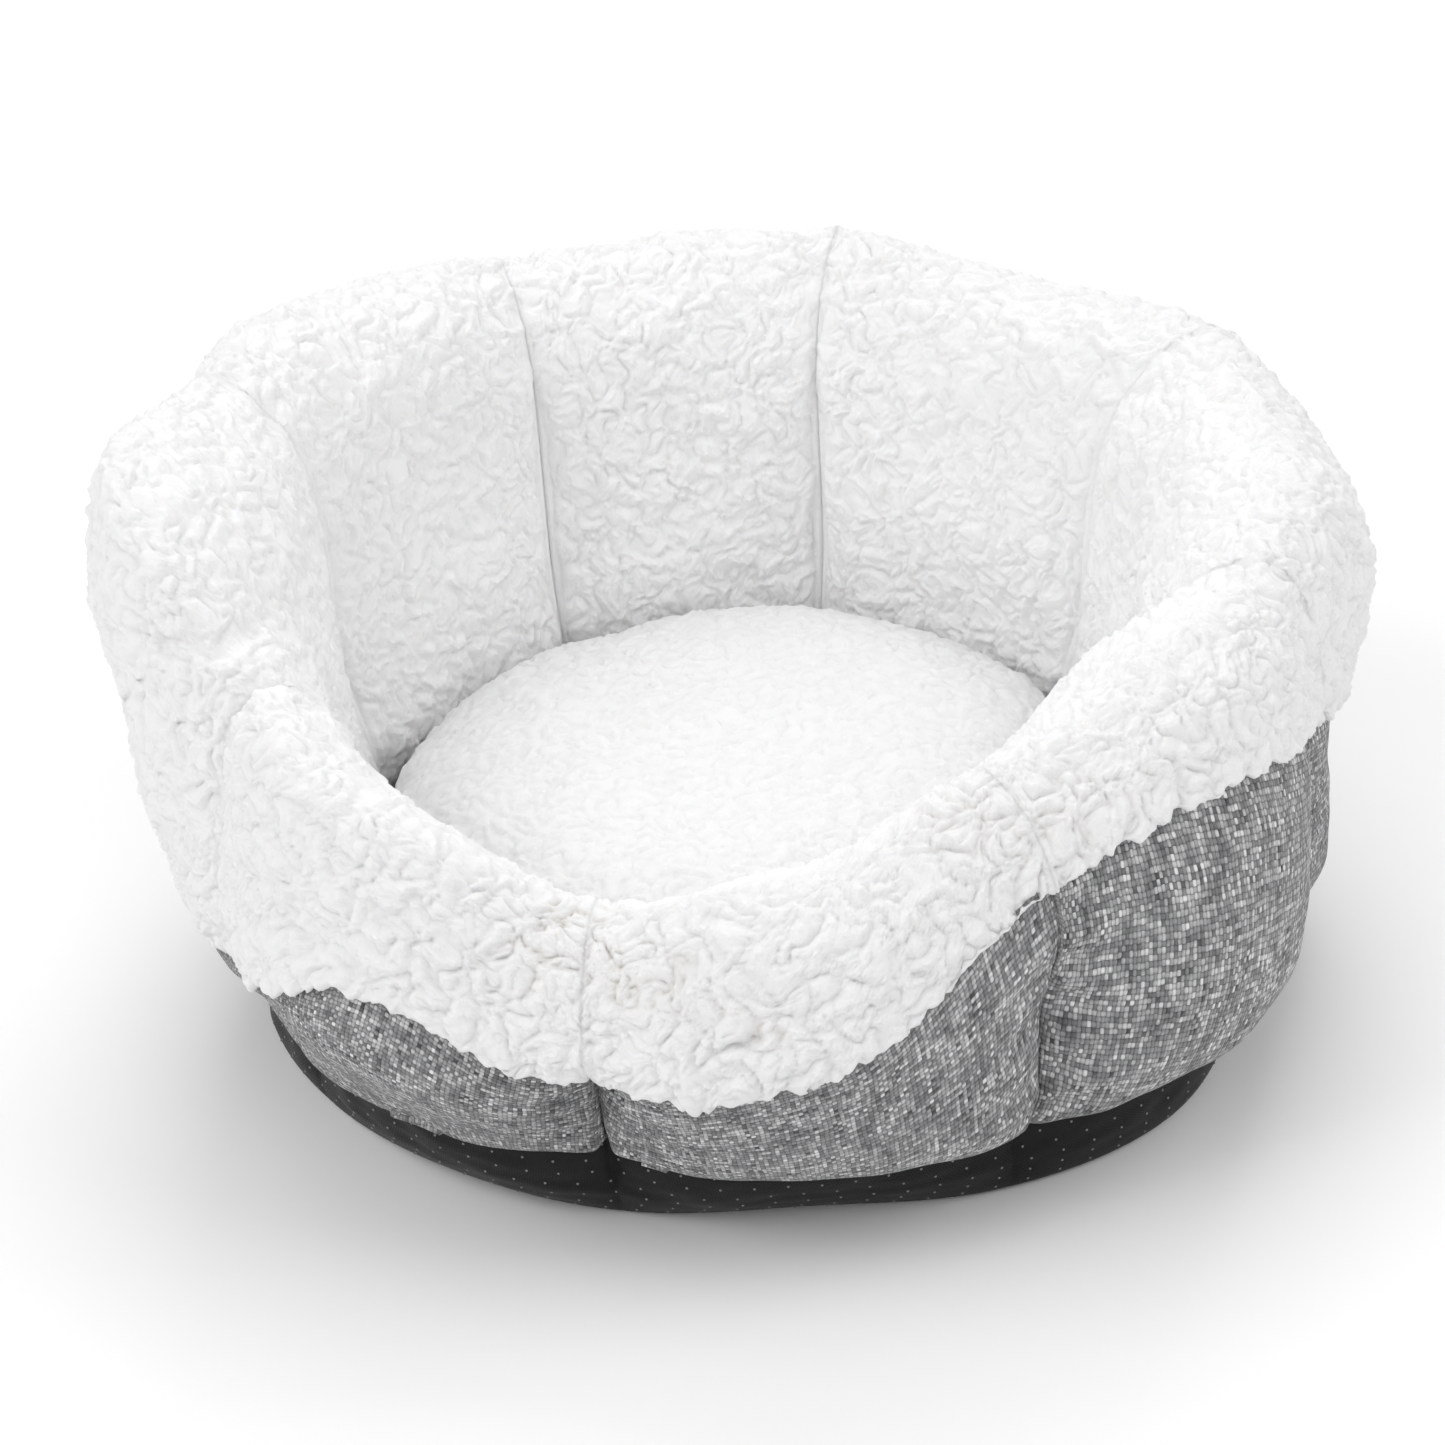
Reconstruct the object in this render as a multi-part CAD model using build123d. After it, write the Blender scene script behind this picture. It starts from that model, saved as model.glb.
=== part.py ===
from build123d import *
import math
import os

# Round pet bed: a padded tub of eight stuffed channels and a loose cushion.
# Millimetres. +Z is up, the low entrance side faces -Y, the origin is on the
# floor under the middle of the base.

# ---------------------------------------------------------------- driving sizes
# The channels follow each other anticlockwise, starting behind the right side.
CHANNELS = (
    "back_right", "back", "back_left", "left",
    "front_left", "front", "front_right", "right",
)
SEAM_AZIMUTHS = (28.0, 75.5, 118.0, 162.0, 207.0, 252.0, 297.0, 342.0)

# Each level of the wall as it runs round the bed: first its value at the eight
# seams, then its value in the middle of the eight channels.
LEVELS = {
    "tuck_r": ((174, 174, 174, 176, 180, 170, 176, 178), (182, 182, 182, 183, 185, 182, 184, 184)),
    "tuck_z": ((36, 36, 36, 38, 43, 41, 33, 30), (30, 30, 30, 34, 37, 34, 30, 27)),
    "low_r": ((180, 180, 180, 184, 186, 175, 182, 182), (194, 194, 194, 199, 192, 194, 197, 197)),
    "low_z": ((46, 46, 46, 47, 53, 50, 46, 42), (40, 40, 40, 42, 47, 43, 41, 38)),
    "flank_r": ((187, 187, 187, 196, 200, 178, 185, 187), (200, 199, 203, 213, 213, 201, 207, 200)),
    "belly_r": ((214, 201, 202, 211, 196, 196, 197, 196), (213, 212, 223, 224, 202, 205, 201, 212)),
    "belly_z": ((150, 158, 164, 160, 122, 86, 118, 134), (152, 164, 172, 177, 112, 96, 136, 153)),
    "crest_r": ((191, 172, 176, 193, 173, 163, 164, 176), (173, 174, 182, 210, 186, 170, 169, 183)),
    "crest_z": ((197, 210, 212, 216, 165, 123, 156, 177), (197, 208, 217, 220, 153, 137, 173, 187)),
    "in_top_r": ((154, 147, 148, 154, 145, 142, 142, 148), (141, 137, 139, 152, 150, 143, 134, 146)),
    "in_mid_r": ((145, 143, 144, 150, 142, 138, 138, 144), (131, 128, 130, 138, 134, 132, 128, 134)),
    "in_bot_r": ((137, 137, 137, 139, 137, 135, 135, 137), (129, 128, 128, 131, 130, 129, 128, 129)),
    "hem_z": ((98, 104, 104, 69, 70, 74, 129, 120), (100, 104, 92, 60, 99, 88, 140, 90)),
    "foot_r": ((166, 166, 166, 170, 172, 160, 170, 172), (166, 166, 168, 180, 163, 156, 178, 170)),
}
SMOOTH_LEVELS = ("hem_z", "foot_r")   # levels that run past the seams without a crease
CUFF_LEVELS = ("belly_r", "belly_z", "crest_r", "crest_z")
CUFF_CREASE = (0.35, 0.35, 0.35, 0.5, 0.7, 0.0, 0.0, 0.1)   # how sharp each seam is on the cuff
PUFF_SHARPNESS = 2.2              # how round a channel bulges between its seams
PUFF_FULLNESS = 0.62
HEM_SEARCH = (0.1, 3.6)           # part of the wall profile that can hold the cuff seam
PROFILE_END = 10.0                # inner foot of the wall along the profile

LEAN_SHIFT = (-9.0, 4.0)          # the inner ring sits off centre by this much
LEAN_OUTER_R = 200.0              # radius where the lean is nothing
LEAN_INNER_R = 135.0              # radius where the lean is full

PANEL_THICKNESS = 1.5
FLEECE_THICKNESS = 5.0
PILE_STEP = 3.5                   # the grey panel lies this far under the fleece at the hem
HEM_BLEND = 0.4                   # stretch below the hem where the stuffing gets slimmer
LAYER_GAP = 0.8
FILL_GAP = 1.4                    # between the fleece and the stuffing
SEAM_GAP = 0.95                   # half the space between two channels
HEM_GAP = 0.9
THREAD_R = 0.45
THREAD_DEPTH = 1.0
THREAD_CORNERS = [
    Vector(THREAD_R * math.cos(math.radians(a)), THREAD_R * math.sin(math.radians(a)), 0)
    for a in range(0, 360, 60)
]
CUFF_THREAD_DEPTH = 4.0
THREAD_STEPS = 12                 # straight runs of a thread across one channel

BASE_THICKNESS = 1.2
BASE_EDGE = (                     # height, how much it follows the foot, rounding of the corner
    (0.0, 1.0, 5.0),
    (3.0, 0.92, 1.5),
    (12.0, 0.55, 0.0),
    (26.0, 0.12, 0.0),
    (44.0, 0.0, 0.0),
)
BASE_INSET = 6.4                  # the base band stands this far inside the panels' lower edge
FOOT_INSET = 4.1                  # and the foot of the stuffing this far
BASE_TOP = BASE_EDGE[-1][0]
FLOOR_LINING_THICKNESS = 1.6
WALL_FOOT = BASE_TOP + FLOOR_LINING_THICKNESS + 2 * LAYER_GAP

CUSHION_CENTRE = (-9.0, 4.0)
CUSHION_R = 123.0
CUSHION_SEAM_Z = 64.0
CUSHION_SEAM_R = 1.2
CUSHION_TOP = ((0.0, 94.0), (45.0, 93.4), (82.0, 90.6), (105.0, 84.0), (118.0, 75.5), (123.0, 65.0))
CUSHION_BOTTOM = ((123.0, 63.0), (117.0, 53.5), (102.0, 48.4), (84.0, 47.0), (0.0, 47.0))
CUSHION_FLEECE = 5.0
CUSHION_CLOTH = 1.4

STATIONS = (0.07, 0.26, 0.5, 0.74, 0.93)   # sections inside one channel, besides its two ends
PROFILE_POINTS = 31
BASE_POINTS = 24
NORMAL_STEP = 0.02


# ---------------------------------------------------------------- shape of the wall
def catmull_rom(p0, p1, p2, p3, f):
    """Value between p1 and p2 of the smooth curve through four values."""
    slope = p2 - p0
    bend = 2 * p0 - 5 * p1 + 4 * p2 - p3
    twist = 3 * (p1 - p2) + p3 - p0
    return p1 + 0.5 * f * (slope + f * (bend + f * twist))


def around(values, place):
    """Smooth closed curve through evenly numbered values."""
    count = len(values)
    first = math.floor(place)
    picks = [values[(first + step) % count] for step in (-1, 0, 1, 2)]
    return catmull_rom(*picks, place - first)


def level(name, turn):
    """Value of one level; turn counts channels, whole numbers are seams."""
    seams, middles = LEVELS[name]
    if name in SMOOTH_LEVELS:
        mixed = [value for pair in zip(seams, middles) for value in pair]
        return around(mixed, 2 * turn)
    at_seam = around(seams, turn)
    at_middle = around(middles, turn - 0.5)
    off_middle = abs(2 * (turn % 1) - 1)
    puff = (1 - off_middle**PUFF_SHARPNESS) ** PUFF_FULLNESS
    if name in CUFF_LEVELS:
        crease = CUFF_CREASE[math.floor(turn + 0.5) % len(CUFF_CREASE)]
        puff = crease * puff + (1 - crease) * math.sin(math.pi * turn) ** 2
    return at_seam + (at_middle - at_seam) * puff


def azimuth(turn):
    """Direction of a place round the bed, in radians."""
    count = len(SEAM_AZIMUTHS)
    first = math.floor(turn) % count
    start = SEAM_AZIMUTHS[first]
    stop = SEAM_AZIMUTHS[(first + 1) % count]
    return math.radians(start + (stop - start) % 360 * (turn % 1))


def wall_controls(turn):
    """Points of the wall profile, from the outer foot over the rim to the inner foot."""
    v = {name: level(name, turn) for name in LEVELS}
    rise = v["crest_z"] - v["belly_z"]
    return [
        (v["tuck_r"], v["tuck_z"]),
        (v["low_r"], v["low_z"]),
        (v["flank_r"], 0.5 * (v["low_z"] + v["belly_z"])),
        (v["belly_r"], v["belly_z"]),
        (0.55 * v["belly_r"] + 0.45 * v["crest_r"], v["belly_z"] + 0.80 * rise),
        (v["crest_r"], v["crest_z"]),
        (0.6 * v["in_top_r"] + 0.4 * v["crest_r"], v["crest_z"] - 0.22 * rise),
        (v["in_top_r"], 0.5 * (v["belly_z"] + v["crest_z"]) - 8),
        (v["in_mid_r"], 0.25 * v["crest_z"] + 42),
        (v["in_bot_r"], WALL_FOOT + 12),
        (v["in_bot_r"] + 5, WALL_FOOT),
    ]


def rounded_run(p0, p1, p2, p3, f):
    """Point between p1 and p2 of a curve that stays round where points lie unevenly."""
    a, b, c = [math.sqrt(math.dist(u, v)) for u, v in ((p0, p1), (p1, p2), (p2, p3))]
    point = []
    for x0, x1, x2, x3 in zip(p0, p1, p2, p3):
        run = x2 - x1
        leave = run + b * ((x1 - x0) / a - (x2 - x0) / (a + b))
        arrive = run + b * ((x3 - x2) / c - (x3 - x1) / (b + c))
        point.append(x1 + f * (leave + f * (3 * run - 2 * leave - arrive + f * (leave + arrive - 2 * run))))
    return tuple(point)


def wall_point(controls, along):
    """Radius and height at a place along the profile."""
    first = min(int(along), len(controls) - 2)
    before = controls[first - 1] if first else mirrored(controls[1], controls[0])
    last = first + 2 >= len(controls)
    after = mirrored(controls[-2], controls[-1]) if last else controls[first + 2]
    return rounded_run(before, controls[first], controls[first + 1], after, along - first)


def mirrored(point, centre):
    """The point's image on the far side of the centre."""
    return (2 * centre[0] - point[0], 2 * centre[1] - point[1])


def under_skin(controls, along, depth):
    """Radius and height at a depth below the wall's surface."""
    r, z = wall_point(controls, along)
    low = wall_point(controls, max(along - NORMAL_STEP, 0))
    high = wall_point(controls, min(along + NORMAL_STEP, PROFILE_END))
    dr, dz = high[0] - low[0], high[1] - low[1]
    length = math.hypot(dr, dz)
    return (r - depth * dz / length, z + depth * dr / length)


def hem_place(controls, height):
    """Place along the profile where the outside of the wall has a height."""
    low, high = HEM_SEARCH
    for _ in range(24):
        middle = 0.5 * (low + high)
        if wall_point(controls, middle)[1] < height:
            low = middle
        else:
            high = middle
    return low


def near_hem(turn, distance):
    """Place a few millimetres above or below the cuff seam."""
    controls = wall_controls(turn)
    place = hem_place(controls, level("hem_z", turn))
    ahead = place + NORMAL_STEP
    step = math.dist(wall_point(controls, place), wall_point(controls, ahead))
    return place + distance * NORMAL_STEP / step


def panel_depth(along, hem):
    """How far the grey panel lies under the wall's surface."""
    return PILE_STEP * min(along / hem, 1) ** 2


def fill_depth(along, hem):
    """How far the stuffing lies under the wall's surface."""
    under_panel = panel_depth(along, hem) + PANEL_THICKNESS + LAYER_GAP
    blend = min(max((along - hem) / HEM_BLEND + 1, 0), 1)
    return under_panel + (FLEECE_THICKNESS + FILL_GAP - under_panel) * blend


def path_along(controls, start, stop, depth):
    """Evenly numbered places on the profile at the depths of a function."""
    places = [start + (stop - start) * i / (PROFILE_POINTS - 1) for i in range(PROFILE_POINTS)]
    return [under_skin(controls, s, depth(s)) for s in places]


# ---------------------------------------------------------------- outlines of one section
def panel_outline(turn):
    controls = wall_controls(turn)
    hem = near_hem(turn, -HEM_GAP)
    skin = path_along(controls, 0, hem, lambda s: panel_depth(s, hem))
    back = path_along(controls, 0, hem, lambda s: panel_depth(s, hem) + PANEL_THICKNESS)
    return [skin, back[::-1]]


def lining_outline(turn):
    controls = wall_controls(turn)
    hem = near_hem(turn, HEM_GAP)
    skin = path_along(controls, hem, PROFILE_END, lambda s: 0)
    back = path_along(controls, hem, PROFILE_END, lambda s: FLEECE_THICKNESS)
    return [skin, back[::-1]]


def fill_outline(turn):
    controls = wall_controls(turn)
    tuck_r, tuck_z = controls[0]
    hem = near_hem(turn, 0)
    skin = path_along(controls, 0, PROFILE_END, lambda s: fill_depth(s, hem))
    skin[-1] = (skin[-1][0], WALL_FOOT)
    foot = [
        skin[-1],
        (tuck_r - FOOT_INSET, WALL_FOOT),
        (tuck_r - FOOT_INSET + 1, tuck_z + 2.6),
        skin[0],
    ]
    return [skin] + [list(pair) for pair in zip(foot, foot[1:])]


# ---------------------------------------------------------------- from sections to solids
def in_space(r, z, turn):
    """Model point of a radius and height; the inner ring is shifted by the lean."""
    lean = (LEAN_OUTER_R - r) / (LEAN_OUTER_R - LEAN_INNER_R)
    direction = azimuth(turn)
    x = r * math.cos(direction) + lean * LEAN_SHIFT[0]
    y = r * math.sin(direction) + lean * LEAN_SHIFT[1]
    return Vector(x, y, z)


def section_wire(outline, turn):
    """Closed wire of one section, from an outline of joined point lists."""
    paths = [[in_space(r, z, turn) for r, z in points] for points in outline(turn)]
    edges = []
    for number, points in enumerate(paths):
        following = paths[(number + 1) % len(paths)][0]
        curve = Edge.make_spline(points) if len(points) > 2 else Edge.make_line(*points)
        edges.append(curve)
        if (following - points[-1]).length > 1e-6:
            edges.append(Edge.make_line(points[-1], following))
    return Wire(edges)


def section_turns(number):
    """Where one channel has its sections."""
    end = SEAM_GAP / (LEAN_OUTER_R * math.radians(40))
    return [number + t for t in (end, *STATIONS, 1 - end)]


def channel_solid(number, outline):
    """One piece of one channel, lofted between its two seams."""
    return Solid.make_loft([section_wire(outline, turn) for turn in section_turns(number)])


def round_thread(places, side):
    """Thin thread through places given as a point and a direction."""
    rings = []
    for point, onward in places:
        plane = Plane(origin=point, x_dir=side, z_dir=onward)
        corners = [plane.from_local_coords(corner) for corner in THREAD_CORNERS]
        rings.append(Wire.make_polygon(corners))
    return Solid.make_loft(rings, ruled=True)


def round_the_bed(turn):
    """Level direction that leads round the bed at a place."""
    direction = azimuth(turn)
    return Vector(-math.sin(direction), math.cos(direction), 0)


def seam_thread(number):
    """Through-stitching in the crease between two channels."""
    controls = wall_controls(number)
    path = path_along(controls, 0.25, PROFILE_END - 0.4, lambda s: THREAD_DEPTH)
    points = [in_space(r, z, number) for r, z in path]
    ahead = points[1:] + points[-1:]
    behind = points[:1] + points[:-1]
    places = [(p, b - a) for p, a, b in zip(points, behind, ahead)]
    return round_thread(places, round_the_bed(number))


def across_channel(number, radius_and_height):
    """Points of a line that crosses one channel, smooth through its sections."""
    turns = section_turns(number)
    line = Edge.make_spline([in_space(*radius_and_height(turn), turn) for turn in turns])
    return [line @ (i / THREAD_STEPS) for i in range(THREAD_STEPS + 1)]


def ring_thread(radius_and_height):
    """Thread round the bed, open at the seam where it starts and ends."""
    points = []
    for number in range(len(CHANNELS)):
        points += across_channel(number, radius_and_height)
    ahead = points[1:] + points[-1:]
    behind = points[:1] + points[:-1]
    places = [(p, b - a) for p, a, b in zip(points, behind, ahead)]
    quarter = len(places) // 4
    runs = [places[i:i + quarter + 1] for i in range(0, len(places), quarter)]
    first, *others = [round_thread(run, Vector(0, 0, 1)) for run in runs]
    return first.fuse(*others)


def cuff_seam(turn):
    return under_skin(wall_controls(turn), near_hem(turn, 0), CUFF_THREAD_DEPTH)


def base_seam(turn):
    return (level("tuck_r", turn) - 0.52 * BASE_INSET, level("tuck_z", turn) - 1.2)


# ---------------------------------------------------------------- base and floor
def base_ring(z, inset, follow=0):
    """Closed outline of the base at one height, between the band and the foot."""
    points = []
    for turn in [len(CHANNELS) * i / BASE_POINTS for i in range(BASE_POINTS)]:
        band = level("tuck_r", turn) - BASE_INSET
        r = band + follow * (level("foot_r", turn) - band) - inset
        points.append(in_space(r, z, turn))
    return Wire([Edge.make_spline(points, periodic=True)])


def base_block(thickness):
    """The rounded base, shrunk all over by a thickness but level at the top."""
    rings = []
    for z, follow, corner in BASE_EDGE:
        height = thickness + z * (BASE_TOP - thickness) / BASE_TOP
        rings.append(base_ring(height, thickness + corner, follow))
    return Solid.make_loft(rings)


def floor_disc():
    low = base_ring(BASE_TOP + LAYER_GAP, BASE_THICKNESS)
    high = base_ring(BASE_TOP + LAYER_GAP + FLOOR_LINING_THICKNESS, BASE_THICKNESS)
    return Solid.make_loft([low, high])


# ---------------------------------------------------------------- loose cushion
def turned(edges):
    """Solid of revolution about the cushion's axis, from edges in the XZ plane."""
    face = Face(Wire(edges))
    x, y = CUSHION_CENTRE
    return Solid(revolve(face, Axis.Z, 360).wrapped).moved(Location((x, y, 0)))


def crown(points, thickness, side):
    """Shell of the cushion's upper (side 1) or lower (side -1) half."""
    skin = [Vector(r, 0, z) for r, z in points]
    scale = (CUSHION_R - thickness) / CUSHION_R
    back = [Vector(r * scale, 0, shrunk_height(z, thickness, side)) for r, z in points]
    first, last = Edge.make_line(skin[0], back[0]), Edge.make_line(skin[-1], back[-1])
    return turned([Edge.make_spline(skin), last, Edge.make_spline(back), first])


def shrunk_height(z, thickness, side):
    """Height of the shell's back; the edge next to the seam stays level."""
    edge = CUSHION_SEAM_Z + side
    full = max(side * (z - edge), 0)
    return z - side * thickness * min(full / (2 * thickness), 1)


def cushion_stuffing():
    top_inset = CUSHION_FLEECE + LAYER_GAP
    low_inset = CUSHION_CLOTH + LAYER_GAP
    upper = inner_curve(CUSHION_TOP, top_inset, 1)
    lower = inner_curve(CUSHION_BOTTOM, low_inset, -1)
    rim = Edge.make_line(upper[-1], lower[0])
    axis = Edge.make_line(lower[-1], upper[0])
    return turned([Edge.make_spline(upper), rim, Edge.make_spline(lower), axis])


def inner_curve(points, inset, side):
    """A shell's back, moved in by one layer gap more."""
    scale = (CUSHION_R - inset) / CUSHION_R
    return [Vector(r * scale, 0, shrunk_height(z, inset, side)) for r, z in points]


def cushion_welt():
    x, y = CUSHION_CENTRE
    ring = Solid.make_torus(CUSHION_R + 0.3 + CUSHION_SEAM_R, CUSHION_SEAM_R)
    return ring.moved(Location((x, y, CUSHION_SEAM_Z)))


# ---------------------------------------------------------------- all pieces
def seam_name(number):
    """A seam is named after the channels on both sides of it."""
    return f"thread_{CHANNELS[number - 1]}_{CHANNELS[number]}"


def all_pieces():
    pieces = {
        "base_fabric": base_block(0) - base_block(BASE_THICKNESS),
        "floor_pad": base_block(BASE_THICKNESS + LAYER_GAP),
        "floor_lining": floor_disc(),
        "thread_cuff": ring_thread(cuff_seam),
        "thread_base": ring_thread(base_seam),
        "cushion_top": crown(CUSHION_TOP, CUSHION_FLEECE, 1),
        "cushion_bottom": crown(CUSHION_BOTTOM, CUSHION_CLOTH, -1),
        "cushion_fill": cushion_stuffing(),
        "cushion_seam": cushion_welt(),
    }
    for number, name in enumerate(CHANNELS):
        pieces[f"outer_{name}"] = channel_solid(number, panel_outline)
        pieces[f"lining_{name}"] = channel_solid(number, lining_outline)
        pieces[f"fill_{name}"] = channel_solid(number, fill_outline)
        pieces[seam_name(number)] = seam_thread(number)
    return pieces


os.makedirs("parts", exist_ok=True)
for node, shape in all_pieces().items():
    export_step(shape, f"parts/{node}.step")
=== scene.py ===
import math

import bpy
import numpy as np
from mathutils import Matrix, Vector


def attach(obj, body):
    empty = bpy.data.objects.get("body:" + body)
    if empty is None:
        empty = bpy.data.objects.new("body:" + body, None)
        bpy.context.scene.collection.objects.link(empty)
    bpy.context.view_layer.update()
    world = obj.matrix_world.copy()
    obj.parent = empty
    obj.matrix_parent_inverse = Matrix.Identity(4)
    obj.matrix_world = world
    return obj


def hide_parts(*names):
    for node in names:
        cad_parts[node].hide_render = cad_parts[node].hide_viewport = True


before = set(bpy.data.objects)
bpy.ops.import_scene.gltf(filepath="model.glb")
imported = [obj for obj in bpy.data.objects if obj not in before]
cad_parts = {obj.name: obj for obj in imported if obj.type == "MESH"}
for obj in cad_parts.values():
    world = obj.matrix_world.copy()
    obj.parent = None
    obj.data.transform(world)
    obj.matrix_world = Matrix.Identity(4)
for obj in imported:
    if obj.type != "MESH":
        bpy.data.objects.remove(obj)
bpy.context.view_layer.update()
MM = 0.001

# ------------------------------------------------------------------ wall shape (mm), as in part.py
CHANNELS = ("back_right", "back", "back_left", "left", "front_left", "front", "front_right", "right")
SEAM_AZIMUTHS = np.array([28.0, 75.5, 118.0, 162.0, 207.0, 252.0, 297.0, 342.0])
LEVELS = {
    "tuck_r": ((174, 174, 174, 176, 180, 170, 176, 178), (182, 182, 182, 183, 185, 182, 184, 184)),
    "tuck_z": ((36, 36, 36, 38, 43, 41, 33, 30), (30, 30, 30, 34, 37, 34, 30, 27)),
    "low_r": ((180, 180, 180, 184, 186, 175, 182, 182), (194, 194, 194, 199, 192, 194, 197, 197)),
    "low_z": ((46, 46, 46, 47, 53, 50, 46, 42), (40, 40, 40, 42, 47, 43, 41, 38)),
    "flank_r": ((187, 187, 187, 196, 200, 178, 185, 187), (200, 199, 203, 213, 213, 201, 207, 200)),
    "belly_r": ((214, 201, 202, 211, 196, 196, 197, 196), (213, 212, 223, 224, 202, 205, 201, 212)),
    "belly_z": ((150, 158, 164, 160, 122, 86, 118, 134), (152, 164, 172, 177, 112, 96, 136, 153)),
    "crest_r": ((191, 172, 176, 193, 173, 163, 164, 176), (173, 174, 182, 210, 186, 170, 169, 183)),
    "crest_z": ((197, 210, 212, 216, 165, 123, 156, 177), (197, 208, 217, 220, 153, 137, 173, 187)),
    "in_top_r": ((154, 147, 148, 154, 145, 142, 142, 148), (141, 137, 139, 152, 150, 143, 134, 146)),
    "in_mid_r": ((145, 143, 144, 150, 142, 138, 138, 144), (131, 128, 130, 138, 134, 132, 128, 134)),
    "in_bot_r": ((137, 137, 137, 139, 137, 135, 135, 137), (129, 128, 128, 131, 130, 129, 128, 129)),
    "hem_z": ((98, 104, 104, 69, 70, 74, 129, 120), (100, 104, 92, 60, 99, 88, 140, 90)),
    "foot_r": ((166, 166, 166, 170, 172, 160, 170, 172), (166, 166, 168, 180, 163, 156, 178, 170)),
}
PUFF_SHARPNESS, PUFF_FULLNESS = 2.2, 0.62
SMOOTH_LEVELS = ("hem_z", "foot_r")
CUFF_LEVELS = ("belly_r", "belly_z", "crest_r", "crest_z")
CUFF_CREASE = np.array([0.35, 0.35, 0.35, 0.5, 0.7, 0.0, 0.0, 0.1])
PROFILE_END = 10.0
LEAN_SHIFT = np.array([-9.0, 4.0])
LEAN_OUTER_R, LEAN_INNER_R = 200.0, 135.0
FLEECE_THICKNESS = 5.0
PILE_STEP = 3.5
WALL_FOOT = 47.2
BASE_INSET = 6.4
CUSHION_CENTRE = np.array([-9.0, 4.0, 0.0])


def catmull_rom(p0, p1, p2, p3, f):
    return p1 + 0.5 * f * (p2 - p0 + f * (2 * p0 - 5 * p1 + 4 * p2 - p3 + f * (3 * (p1 - p2) + p3 - p0)))


def around(values, place):
    """Smooth closed curve through evenly numbered values, at an array of places."""
    values = np.asarray(values, float)
    first = np.floor(place).astype(int)
    picks = [values[(first + step) % len(values)] for step in (-1, 0, 1, 2)]
    return catmull_rom(*picks, place - first)


def level(name, turn):
    seams, middles = LEVELS[name]
    if name in SMOOTH_LEVELS:
        return around(np.stack([seams, middles], 1).ravel(), 2 * turn)
    at_seam, at_middle = around(seams, turn), around(middles, turn - 0.5)
    puff = (1 - np.abs(2 * (turn % 1) - 1) ** PUFF_SHARPNESS) ** PUFF_FULLNESS
    if name in CUFF_LEVELS:
        crease = CUFF_CREASE[np.floor(turn + 0.5).astype(int) % 8]
        puff = crease * puff + (1 - crease) * np.sin(np.pi * turn) ** 2
    return at_seam + (at_middle - at_seam) * puff


def azimuth(turn):
    first = np.floor(turn).astype(int) % 8
    start = SEAM_AZIMUTHS[first]
    stop = SEAM_AZIMUTHS[(first + 1) % 8]
    return np.radians(start + (stop - start) % 360 * (turn % 1))


def wall_controls(turn):
    """Control points of the wall profile for an array of turns, as (turns, points, 2)."""
    v = {name: level(name, turn) for name in LEVELS}
    rise = v["crest_z"] - v["belly_z"]
    same = np.zeros_like(turn)
    points = [
        (v["tuck_r"], v["tuck_z"]),
        (v["low_r"], v["low_z"]),
        (v["flank_r"], 0.5 * (v["low_z"] + v["belly_z"])),
        (v["belly_r"], v["belly_z"]),
        (0.55 * v["belly_r"] + 0.45 * v["crest_r"], v["belly_z"] + 0.80 * rise),
        (v["crest_r"], v["crest_z"]),
        (0.6 * v["in_top_r"] + 0.4 * v["crest_r"], v["crest_z"] - 0.22 * rise),
        (v["in_top_r"], 0.5 * (v["belly_z"] + v["crest_z"]) - 8),
        (v["in_mid_r"], 0.25 * v["crest_z"] + 42),
        (v["in_bot_r"], same + WALL_FOOT + 12),
        (v["in_bot_r"] + 5, same + WALL_FOOT),
    ]
    return np.stack([np.stack(p, -1) for p in points], 1)


def rounded_run(p0, p1, p2, p3, f):
    """Points between p1 and p2 of curves that stay round where points lie unevenly."""
    spans = ((p0, p1), (p1, p2), (p2, p3))
    a, b, c = [np.sqrt(np.linalg.norm(v - u, axis=-1, keepdims=True)) for u, v in spans]
    run = p2 - p1
    leave = run + b * ((p1 - p0) / a - (p2 - p0) / (a + b))
    arrive = run + b * ((p3 - p2) / c - (p3 - p1) / (b + c))
    return p1 + f * (leave + f * (3 * run - 2 * leave - arrive + f * (leave + arrive - 2 * run)))


def on_profile(controls, along):
    """Profile points at places along it; controls (T, K, 2), along (T, S)."""
    count = controls.shape[1]
    padded = np.concatenate(
        [2 * controls[:, :1] - controls[:, 1:2], controls, 2 * controls[:, -1:] - controls[:, -2:-1]], 1)
    first = np.clip(np.floor(along).astype(int), 0, count - 2)
    rows = np.arange(len(controls))[:, None]
    picks = [padded[rows, first + step] for step in range(4)]
    return rounded_run(*picks, (along - first)[..., None])


def hem_place(controls, height):
    """Place along the profile where the outside of the wall reaches a height."""
    low, high = np.full(len(controls), 0.1), np.full(len(controls), 3.6)
    for _ in range(22):
        middle = 0.5 * (low + high)
        below = on_profile(controls, middle[:, None])[:, 0, 1] < height
        low, high = np.where(below, middle, low), np.where(below, high, middle)
    return low


def under_skin(controls, along, depth):
    """Profile points moved inwards by depth."""
    step = 0.02
    low = on_profile(controls, np.clip(along - step, 0, PROFILE_END))
    high = on_profile(controls, np.clip(along + step, 0, PROFILE_END))
    tangent = high - low
    tangent /= np.linalg.norm(tangent, axis=-1, keepdims=True)
    inwards = np.stack([-tangent[..., 1], tangent[..., 0]], -1)
    return on_profile(controls, along) + np.asarray(depth)[..., None] * inwards


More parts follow.
